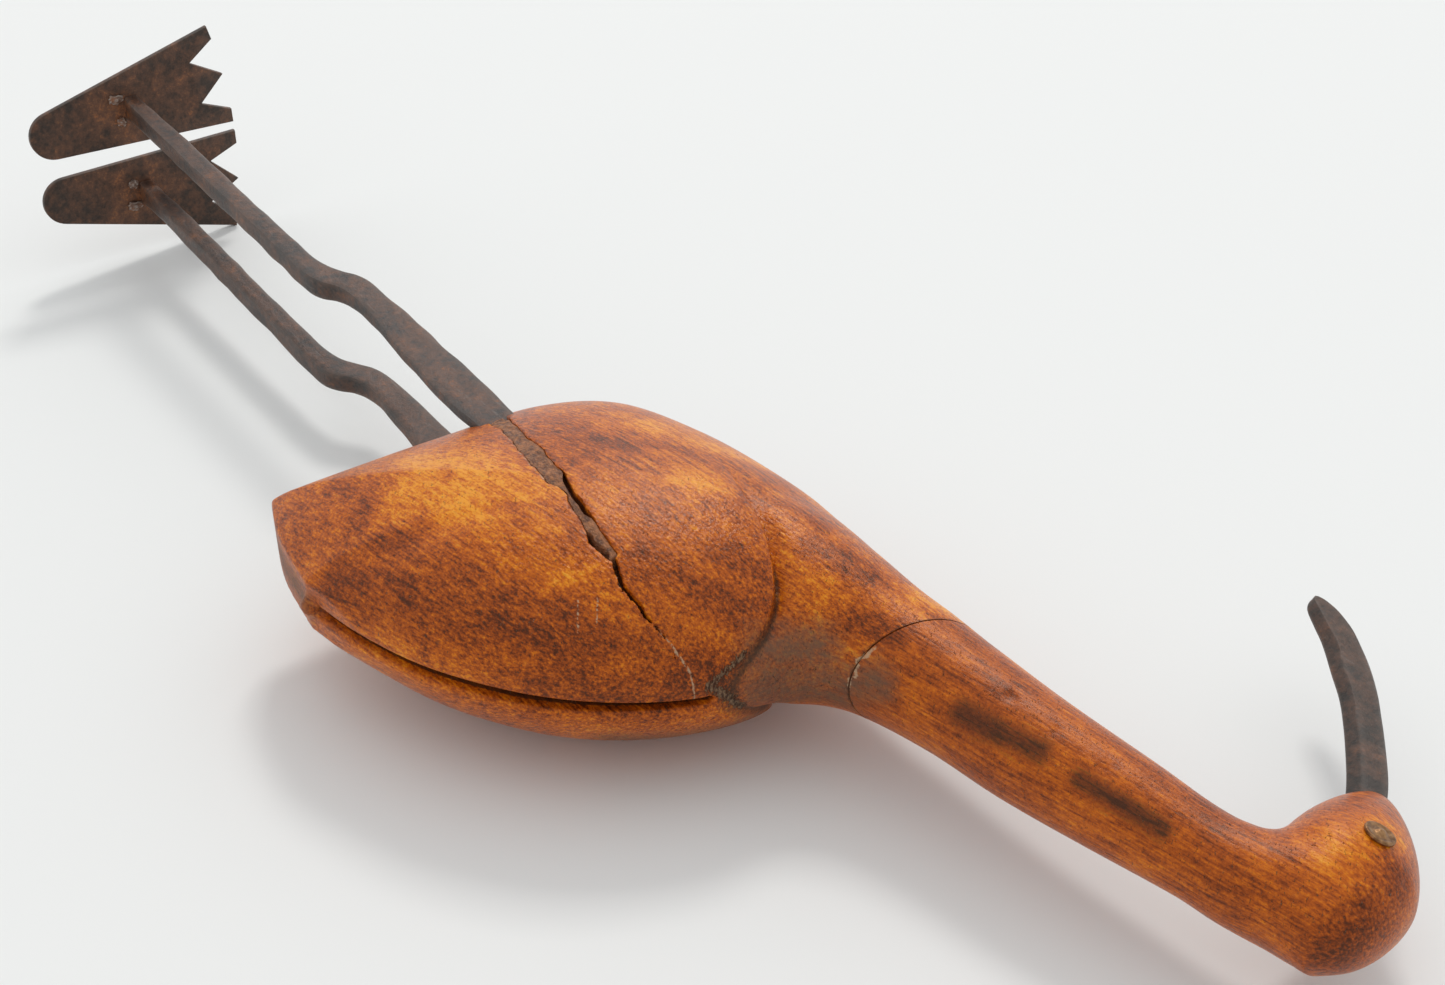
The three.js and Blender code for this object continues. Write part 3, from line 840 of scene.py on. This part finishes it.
def filler_material():
    """Old packing: lumpy and fibrous, from dark brown to a warm tan."""
    m = Nodes("old_filler")
    lumps = m.noise(m.stretch((0.4, 0.5, 0.5)), detail=6, roughness=0.7)
    fibres = m.noise(m.stretch((0.3, 2.4, 2.4), turn=(0, 0.45, 0)), detail=4, roughness=0.7)
    colour = m.mix(m.ramp(lumps, 0.38, 0.62), FILLER_DARK, FILLER_WARM)
    colour = m.mix(m.ramp(fibres, 0.58, 0.68, 0, 0.7), colour, FILLER_PALE_FIBRE)
    colour = m.mix(m.ramp(fibres, 0.30, 0.40, 0.7, 0), colour, FILLER_DARK_FIBRE)
    bump = m.bump(m.math("ADD", lumps, fibres), 1.2, 1.0)
    return m.finish(Base_Color=colour, Roughness=m.ramp(lumps, 0.3, 0.7, 0.42, 0.65), Normal=bump)


RUSTY_REACH = 22.0  # how far rust has spread from the welds of each foot
RUST = (0.165, 0.062, 0.025)
BRIGHT_RUST = (0.300, 0.110, 0.035)
WORN_IRON = (0.20, 0.17, 0.15)


def iron_material(name, rust, bare, scale, metal_colour=WORN_IRON):
    """Old forged iron: dark scale with rust, and greyer metal where it is worn."""
    m = Nodes(name)
    patches = m.noise(m.stretch((0.05, 0.08, 0.08)), detail=7, roughness=0.7, distortion=0.4)
    grit = m.noise(m.stretch((0.9, 0.9, 0.9), (4, 2, 1)), detail=5, roughness=0.75)
    spots = m.noise(m.stretch((0.35, 0.35, 0.35), (9, 2, 6)), detail=6, roughness=0.7)
    worn = m.add("ShaderNodeNewGeometry").outputs["Pointiness"]
    rusty = m.math("ADD", m.math("MULTIPLY", patches, 0.8), m.math("MULTIPLY", spots, 0.6))
    for side in (1, -1):
        root = BIRD @ Vector((WELD_FRONT, side * LEG_SPACING / 2, 0))
        away = m.add("ShaderNodeVectorMath", {0: m.place, 1: root}, operation="DISTANCE")
        rusty = m.math("ADD", rusty, m.ramp(away.outputs["Value"], 0, RUSTY_REACH * MM, 0.16, 0))
    light_scale = tuple(2.6 * channel for channel in scale)
    colour = m.mix(m.ramp(grit, 0.35, 0.7), scale, light_scale)
    colour = m.mix(m.ramp(rusty, 0.60, 0.90, 0, rust), colour, RUST)
    colour = m.mix(m.ramp(m.math("ADD", rusty, grit), 1.34, 1.50, 0, rust), colour, BRIGHT_RUST)
    streaks = m.noise(m.stretch((0.05, 0.6, 0.6), (1, 6, 3)), detail=5, roughness=0.7)
    colour = m.mix(m.ramp(streaks, 0.60, 0.74, 0, bare), colour, metal_colour)
    colour = m.mix(m.ramp(worn, 0.515, 0.58, 0, bare), colour, metal_colour)
    metal = m.ramp(rusty, 0.6, 0.85, 0.5, 0.1)
    rough = m.ramp(grit, 0.3, 0.7, 0.36, 0.62)
    bump = m.bump(grit, 0.22, 0.55, m.bump(spots, 0.6, 0.6))
    return m.finish(Base_Color=colour, Metallic=metal, Roughness=rough, Normal=bump)


TARNISH = (0.13, 0.060, 0.025)
OLD_BRASS = (0.40, 0.22, 0.10)


def brass_material():
    m = Nodes("aged_brass")
    tarnish = m.noise(m.stretch((0.5, 0.5, 0.5)), detail=5, roughness=0.65)
    colour = m.mix(m.ramp(tarnish, 0.35, 0.65), TARNISH, OLD_BRASS)
    rough = m.ramp(tarnish, 0.3, 0.7, 0.5, 0.3)
    return m.finish(Base_Color=colour, Metallic=0.85, Roughness=rough, Normal=m.bump(tarnish, 0.15, 0.5))


def floor_material():
    m = Nodes("pale_floor")
    return m.finish(Base_Color=(0.84, 0.845, 0.83), Roughness=0.7, Specular_IOR_Level=0.2)


# ---- the wooden pieces ----

BODY_STEP = 0.75
NECK_STEP = 0.75
FILLER_STEP = 0.45


def build_body(material):
    low, high = (-83, -39, 283), (72, 39, 475)
    mesh = mesh_of("carved_body", *surface_net(body_field, low, high, BODY_STEP))
    cut_at_joint(mesh, False, 0.0)
    paint_wood(mesh)
    return finish_piece("carved_body", mesh, material, ("body",))


def build_neck_and_head(material):
    low, high = (14, -24, 446), (113, 24, 606)
    mesh = mesh_of("neck_with_head", *surface_net(neck_and_head_field, low, high, NECK_STEP))
    cut_at_joint(mesh, True, JOINT_GAP)
    paint_wood(mesh)
    return finish_piece("neck_with_head", mesh, material, ("neck_and_head", "neck_dowel"))


def build_filler(material):
    low, high = (-20, -2, 284), (8, 38, 404)
    mesh = mesh_of("packed_split", *surface_net(filler_field, low, high, FILLER_STEP))
    return finish_piece("packed_split", mesh, material, ("split_filler",), sharp=60)


# ---- the bill ----

# Stations of the bill: x and z of its outer edge, its side ridge and its inner edge.
BILL = [
    (98.0, 579.0, 96.5, 572.5, 95.5, 568.5), (114.8, 567.3, 108.3, 563.8, 107.3, 560.3),
    (124.0, 559.2, 118.0, 555.5, 117.2, 552.0), (134.6, 549.0, 127.6, 546.5, 126.2, 543.6),
    (143.0, 540.4, 136.0, 537.3, 135.0, 534.6), (150.0, 532.0, 143.2, 528.3, 143.4, 523.9),
    (156.0, 523.5, 149.3, 521.0, 149.9, 515.6), (159.9, 517.2, 154.0, 513.2, 154.4, 508.8),
    (162.2, 511.0, 157.8, 506.9, 157.7, 503.8), (163.2, 505.4, 160.4, 502.8, 159.7, 501.6),
    (163.2, 502.6, 162.4, 501.5, 161.6, 500.6),
]
BILL_HALF_THICKNESS = 3.2
BILL_EDGE_HALF = 0.7

# One side of the bill's section: 0 before its ridge and 1 after it, the share of that stretch, then
# the half width as shares of the half thickness of the bill and of its inner edge.
BILL_SECTION = [
    (0, 0, 0.72, 0), (0, 0.09, 0.97, 0), (0, 0.35, 1, 0), (0, 0.7, 1, 0), (0, 0.95, 1, 0),
    (1, 0.15, 0.86, 0), (1, 0.5, 0.46, 0.25), (1, 0.9, 0, 1.15), (1, 1, 0, 0.6),
]


def bill_ring(station, tip):
    """One closed section of the bill; tip runs from 0 to 1 over its last few millimetres."""
    lines = [np.array([station[i], 0, station[i + 1]]) for i in (0, 2, 4)]
    half = BILL_HALF_THICKNESS * (1 - 0.12 * tip ** 2)
    edge = BILL_EDGE_HALF * (1 - 0.3 * tip)
    left = []
    for stretch, share, thick, thin in BILL_SECTION:
        start, end = lines[stretch], lines[stretch + 1]
        left.append(start + (end - start) * share + np.array([0, half * thick + edge * thin, 0]))
    right = [p * np.array([1, -1, 1]) for p in reversed(left)]
    return left + right


def build_bill(material):
    stations = smooth_path(BILL, 7)
    count = len(stations)
    tips = np.clip((np.arange(count) - 0.78 * count) / (0.22 * count), 0, 1)
    rings = [bill_ring(s, t) for s, t in zip(stations, tips)]
    points, faces = loft(rings)
    mesh = recalc_outward(mesh_of("forged_bill", hammered(points, 0.09, 9.0, 3.0), faces))
    return finish_piece("forged_bill", mesh, material, ("beak",), sharp=30)


# ---- the legs ----

# Stations of a leg: x and z of its front edge, x and z of its rear edge, half thickness,
# and how much of the right leg's longer step it takes.
LEG = [
    (1.2, 2.8, -4.8, 2.8, 5.2, 0), (1.3, 8, -4.9, 8, 4.9, 0), (1.6, 20, -5.3, 20, 4.0, 0),
    (1.8, 45, -5.9, 45, 3.9, 0), (1.3, 80, -6.6, 80, 3.9, 0), (0.6, 120, -7.3, 120, 3.9, 0),
    (0.2, 155, -7.9, 155, 3.9, 0), (0.1, 174, -8.4, 178, 3.9, 0.1), (1.0, 184.5, -8.3, 188.5, 3.9, 0.3),
    (3.8, 191.5, -6.4, 195.2, 3.8, 0.6), (7.0, 197.5, -3.2, 200.5, 3.6, 0.9),
    (8.8, 206, -1.4, 208, 3.2, 1), (9.4, 222, -1.5, 224, 2.6, 1), (9.4, 250, -4.0, 251, 2.1, 1),
    (8.8, 275, -5.6, 275, 2.1, 1), (7.8, 300, -6.2, 300, 2.1, 1), (6.6, 325, -4.0, 325, 2.1, 1),
]
RIGHT_STEP = 2.4
LEG_CHAMFER = 1.15


def leg_ring(station, centre_y, step):
    """One closed section of a leg: a rectangle with rounded corners."""
    front = np.array([station[0] + step * station[5], 0, station[1]])
    rear = np.array([station[2] + step * station[5], 0, station[3]])
    half = station[4]
    length = np.linalg.norm(front - rear)
    ahead = (front - rear) / length
    across = np.array([0.0, 1.0, 0.0])
    middle = (front + rear) / 2 + across * centre_y
    cut = min(LEG_CHAMFER, half * 0.45)
    reach = length / 2
    quarter = [
        (reach, half - cut * 1.1), (reach - cut * 0.32, half - cut * 0.32), (reach - cut * 1.1, half),
    ]
    ring = []
    for sa, sb, flip in ((1, 1, False), (-1, 1, True), (-1, -1, False), (1, -1, True)):
        corner = reversed(quarter) if flip else quarter
        ring += [middle + ahead * a * sa + across * b * sb for a, b in corner]
    return add_midpoints(ring)


def add_midpoints(ring):
    """The ring with points added along its longer sides."""
    out = []
    for a, b in zip(ring, ring[1:] + ring[:1]):
        out.append(a)
        if np.linalg.norm(b - a) > 2.0:
            out += [a + (b - a) * t for t in (0.25, 0.5, 0.75)]
    return out


def build_leg(name, side, step, material):
    """side is 1 on the left and -1 on the right; step is how much further forward the knee steps."""
    stations = smooth_path(LEG, 9)
    rings = [leg_ring(s, side * LEG_SPACING / 2, step) for s in stations]
    most = max(len(r) for r in rings)
    rings = [r if len(r) == most else resample(r, most) for r in rings]
    points, faces = loft(rings)
    mesh = recalc_outward(mesh_of(name, hammered(points, 0.42, 13.0, 5.0 * side), faces))
    return finish_piece(name, mesh, material, (name.replace("forged_", ""),), sharp=32)


def resample(ring, count):
    """The closed ring with the given number of points, evenly spread."""
    ring = np.asarray(ring + ring[:1])
    lengths = np.concatenate([[0], np.cumsum(np.linalg.norm(np.diff(ring, axis=0), axis=1))])
    at = np.linspace(0, lengths[-1], count, endpoint=False)
    return [np.array([np.interp(t, lengths, ring[:, k]) for k in range(3)]) for t in at]


# ---- the feet ----

FOOT_LENGTH = 86.0
FOOT_THICKNESS = 2.5
HEEL_RADIUS = 10.3
TOE_HALF_WIDTH = 22.3
TOE_TIP_HALF_WIDTH = 16.4
TOE_END = 84.8
NOTCH_AT = 73.4
NOTCH_HALF_WIDTH = 9.5
LEG_FROM_HEEL = 46.3
FOOT_EDGE_ROUNDING = 0.45


def foot_outline():
    """The foot from above, x forward from the leg: a round heel, and three toes with two notches."""
    lean = math.asin((TOE_HALF_WIDTH - HEEL_RADIUS) / (TOE_END - HEEL_RADIUS))
    start, end = math.pi / 2 + lean, 3 * math.pi / 2 - lean
    heel = [
        (HEEL_RADIUS * (1 + math.cos(a)), HEEL_RADIUS * math.sin(a))
        for a in np.linspace(start, end, 24)
    ]
    upper = [
        (NOTCH_AT + 0.6, NOTCH_HALF_WIDTH - 0.5), (NOTCH_AT, NOTCH_HALF_WIDTH),
        (NOTCH_AT + 0.6, NOTCH_HALF_WIDTH + 0.4),
        (FOOT_LENGTH - 0.5, TOE_TIP_HALF_WIDTH), (TOE_END, TOE_HALF_WIDTH),
    ]
    lower = [(x, -y) for x, y in reversed(upper)]
    return [(x - LEG_FROM_HEEL, y) for x, y in heel + lower + [(FOOT_LENGTH, 0)] + upper]


def build_foot(name, side, material):
    work = bmesh.new()
    base = [work.verts.new((x, y, 0)) for x, y in foot_outline()]
    face = work.faces.new(base)
    top = bmesh.ops.extrude_face_region(work, geom=[face])
    lifted = [v for v in top["geom"] if isinstance(v, bmesh.types.BMVert)]
    bmesh.ops.translate(work, verts=lifted, vec=(0, 0, FOOT_THICKNESS))
    rims = [e for e in work.edges if abs(e.verts[0].co.z - e.verts[1].co.z) < 0.1]
    bmesh.ops.bevel(work, geom=rims, offset=FOOT_EDGE_ROUNDING, segments=2, affect="EDGES", profile=0.6)
    bmesh.ops.triangulate(work, faces=[f for f in work.faces if len(f.verts) > 4])
    bmesh.ops.recalc_face_normals(work, faces=work.faces)
    turn = Matrix.Rotation(side * math.radians(FOOT_SPLAY), 4, "Z")
    work.transform(Matrix.Translation((0, side * LEG_SPACING / 2, 0)) @ turn)
    mesh = write_mesh(work, bpy.data.meshes.new(name))
    return finish_piece(name, mesh, material, (name.replace("sheet_", ""),), sharp=30)


# ---- weld beads and tacks ----

# Which side of the leg, then half length, half width and height, then the seed of its lumps.
WELDS = {"outer": (1, (3.2, 1.9, 1.7), 1.0), "inner": (-1, (2.2, 1.9, 1.6), 6.0)}


def build_weld(name, side, outward, size, seed, material):
    """A lump of weld metal behind the leg's foot end."""
    work = bmesh.new()
    bmesh.ops.create_icosphere(work, subdivisions=4, radius=1)
    length, width, height = size
    for v in work.verts:
        rough = 1 + 0.3 * noise.noise(v.co * 1.6 + Vector((seed, 0, 0)))
        rough += 0.16 * noise.noise(v.co * 4.1 + Vector((0, seed, 0)))
        level = max(v.co.z, -0.25) + 0.25
        v.co = Vector((v.co.x * length * rough, v.co.y * width * rough, level * height * rough))
    centre_y = side * LEG_SPACING / 2 + outward * WELD_Y
    place = (WELD_FRONT - length, centre_y, FOOT_THICKNESS - 0.1)
    bmesh.ops.translate(work, verts=work.verts, vec=place)
    mesh = write_mesh(work, bpy.data.meshes.new(name))
    return finish_piece(name, mesh, material, (name.replace("bead_", ""),), sharp=60)


# Radius and height of the tack: a domed middle, a shallow dish, a thin rim, and the shank under it.
TACK_PROFILE = [
    (0, 1.75), (0.6, 1.68), (1.1, 1.4), (1.5, 0.95), (2.0, 0.72), (2.7, 0.72), (3.3, 0.95), (3.7, 1.0),
    (EYE_RADIUS - 0.1, 0.8), (EYE_RADIUS, 0.4), (EYE_RADIUS - 0.1, 0.05), (EYE_RADIUS - 0.6, -0.3),
    (0.9, -0.5), (0.85, -6),
]
TACK_SIDES = 48


def lathe(profile, around):
    """A bmesh turned round z, from a point on the axis down to a flat end."""
    work = bmesh.new()
    turns = [2 * math.pi * i / around for i in range(around)]
    rings = [
        [work.verts.new((radius * math.cos(t), radius * math.sin(t), height)) for t in turns]
        for radius, height in profile[1:]
    ]
    crown = work.verts.new((0, 0, profile[0][1]))
    for i in range(around):
        j = (i + 1) % around
        work.faces.new((crown, rings[0][i], rings[0][j]))
        for above, below in zip(rings, rings[1:]):
            work.faces.new((above[i], below[i], below[j], above[j]))
    work.faces.new(list(reversed(rings[-1])))
    bmesh.ops.recalc_face_normals(work, faces=work.faces)
    return work


def build_tack(name, side, material):
    work = lathe(TACK_PROFILE, TACK_SIDES)
    x, y, z = EYE_OUTWARD
    turn = Vector((x, side * y, z)).to_track_quat("Z", "Y").to_matrix().to_4x4()
    place = Vector((EYE_AT[0], side * EYE_AT[1], EYE_AT[2]))
    work.transform(Matrix.Translation(place) @ turn)
    mesh = write_mesh(work, bpy.data.meshes.new(name))
    return finish_piece(name, mesh, material, (name.replace("tack_", ""),), sharp=40)


# ---- stage, lights and camera ----

CAMERA_AT = (-239.5, 350.7, 774.8)  # in the bird's frame
CAMERA_AIM = (53.5, 0.0, 355.6)  # where its axis meets the bird's middle plane
CAMERA_LENS = 48.8
FLOOR_HALF = 3.0  # metres
LIGHT_FROM = (-0.50, 0.45, 0.74)  # the studio is brightest on this side, in the row's frame
LAMP_DISTANCE = 16.0  # metres
LAMP_SIZE = 3.2
LAMP_POWER = 760
LAMP_COLOUR = (1.0, 0.99, 0.97)
SKY_COLOUR = (0.97, 0.985, 1.0)
SKY_DIM = 0.66  # the sky's strength on the far side, and on the side that the light comes from
SKY_BRIGHT = 0.90


def build_floor(material):
    corners = [(x * FLOOR_HALF, y * FLOOR_HALF, 0) for x, y in ((-1, -1), (1, -1), (1, 1), (-1, 1))]
    mesh = mesh_of("floor", corners, [(0, 1, 2, 3)])
    mesh.materials.append(material)
    floor = bpy.data.objects.new("floor", mesh)
    bpy.context.collection.objects.link(floor)


def build_sky():
    """A soft studio, which brightens towards the side that the light comes from."""
    world = bpy.data.worlds.new("studio")
    world.use_nodes = True
    tree = world.node_tree
    direction = tree.nodes.new("ShaderNodeTexCoord").outputs["Generated"]
    facing = tree.nodes.new("ShaderNodeVectorMath")
    facing.operation = "DOT_PRODUCT"
    tree.links.new(direction, facing.inputs[0])
    facing.inputs[1].default_value = Vector(LIGHT_FROM).normalized()
    bright = tree.nodes.new("ShaderNodeMapRange")
    bright.interpolation_type = "SMOOTHSTEP"
    tree.links.new(facing.outputs["Value"], bright.inputs["Value"])
    ends = (("From Min", -0.4), ("From Max", 0.9), ("To Min", SKY_DIM), ("To Max", SKY_BRIGHT))
    for name, value in ends:
        bright.inputs[name].default_value = value
    background = tree.nodes["Background"]
    background.inputs["Color"].default_value = (*SKY_COLOUR, 1)
    tree.links.new(bright.outputs[0], background.inputs["Strength"])
    bpy.context.scene.world = world


def build_lamp():
    """One large, far lamp, like a window."""
    lamp = bpy.data.lights.new("window", "AREA")
    lamp.size = LAMP_SIZE
    lamp.energy = LAMP_POWER
    lamp.color = LAMP_COLOUR
    light = bpy.data.objects.new("window", lamp)
    light.location = LAMP_DISTANCE * Vector(LIGHT_FROM)
    light.rotation_euler = (-light.location).to_track_quat("-Z", "Y").to_euler()
    bpy.context.collection.objects.link(light)


def build_camera():
    """The camera looks at the left flank from behind and above, with the breast at the top."""
    view = BIRD @ Vector(CAMERA_AIM) - BIRD @ Vector(CAMERA_AT)
    back = -view.normalized()
    up = (BIRD.to_3x3() @ Vector((0, 1, 0))).normalized()
    right = up.cross(back).normalized()
    turn = Matrix((right, back.cross(right), back)).transposed().to_4x4()
    lens = bpy.data.cameras.new("camera")
    lens.lens = CAMERA_LENS
    lens.sensor_width = 36.0
    camera = bpy.data.objects.new("camera", lens)
    camera.matrix_world = Matrix.Translation(BIRD @ Vector(CAMERA_AT)) @ turn
    bpy.context.collection.objects.link(camera)
    bpy.context.scene.camera = camera


# ---- assembly ----

BODY_GRAIN = (0.0, 0.0, -0.15)
NECK_GRAIN = (0.0, 0.0, -0.16)

body_wood = wood_material("body_wood", BODY_GRAIN, 0.0, 1.0)
neck_wood = wood_material("neck_wood", NECK_GRAIN, 0.07, 0.65)
leg_iron = iron_material("leg_iron", 0.8, 0.5, (0.031, 0.026, 0.024))
foot_iron = iron_material("foot_iron", 0.85, 0.15, (0.026, 0.018, 0.014))
bill_iron = iron_material("bill_iron", 0.6, 0.3, (0.026, 0.021, 0.018))
weld_metal = iron_material("weld_metal", 0.8, 0.7, (0.100, 0.082, 0.070), (0.42, 0.38, 0.34))
brass = brass_material()

bpy.context.scene.view_settings.view_transform = "Standard"
build_camera()
build_sky()
build_lamp()
build_floor(floor_material())
build_body(body_wood)
build_filler(filler_material())
build_neck_and_head(neck_wood)
build_bill(bill_iron)
for side_name, side, step in (("left", 1, 0.0), ("right", -1, RIGHT_STEP)):
    build_tack(f"tack_{side_name}_eye", side, brass)
    build_leg(f"forged_{side_name}_leg", side, step, leg_iron)
    build_foot(f"sheet_{side_name}_foot", side, foot_iron)
    for place, (outward, size, seed) in WELDS.items():
        build_weld(f"bead_{side_name}_foot_weld_{place}", side, side * outward, size, seed, weld_metal)
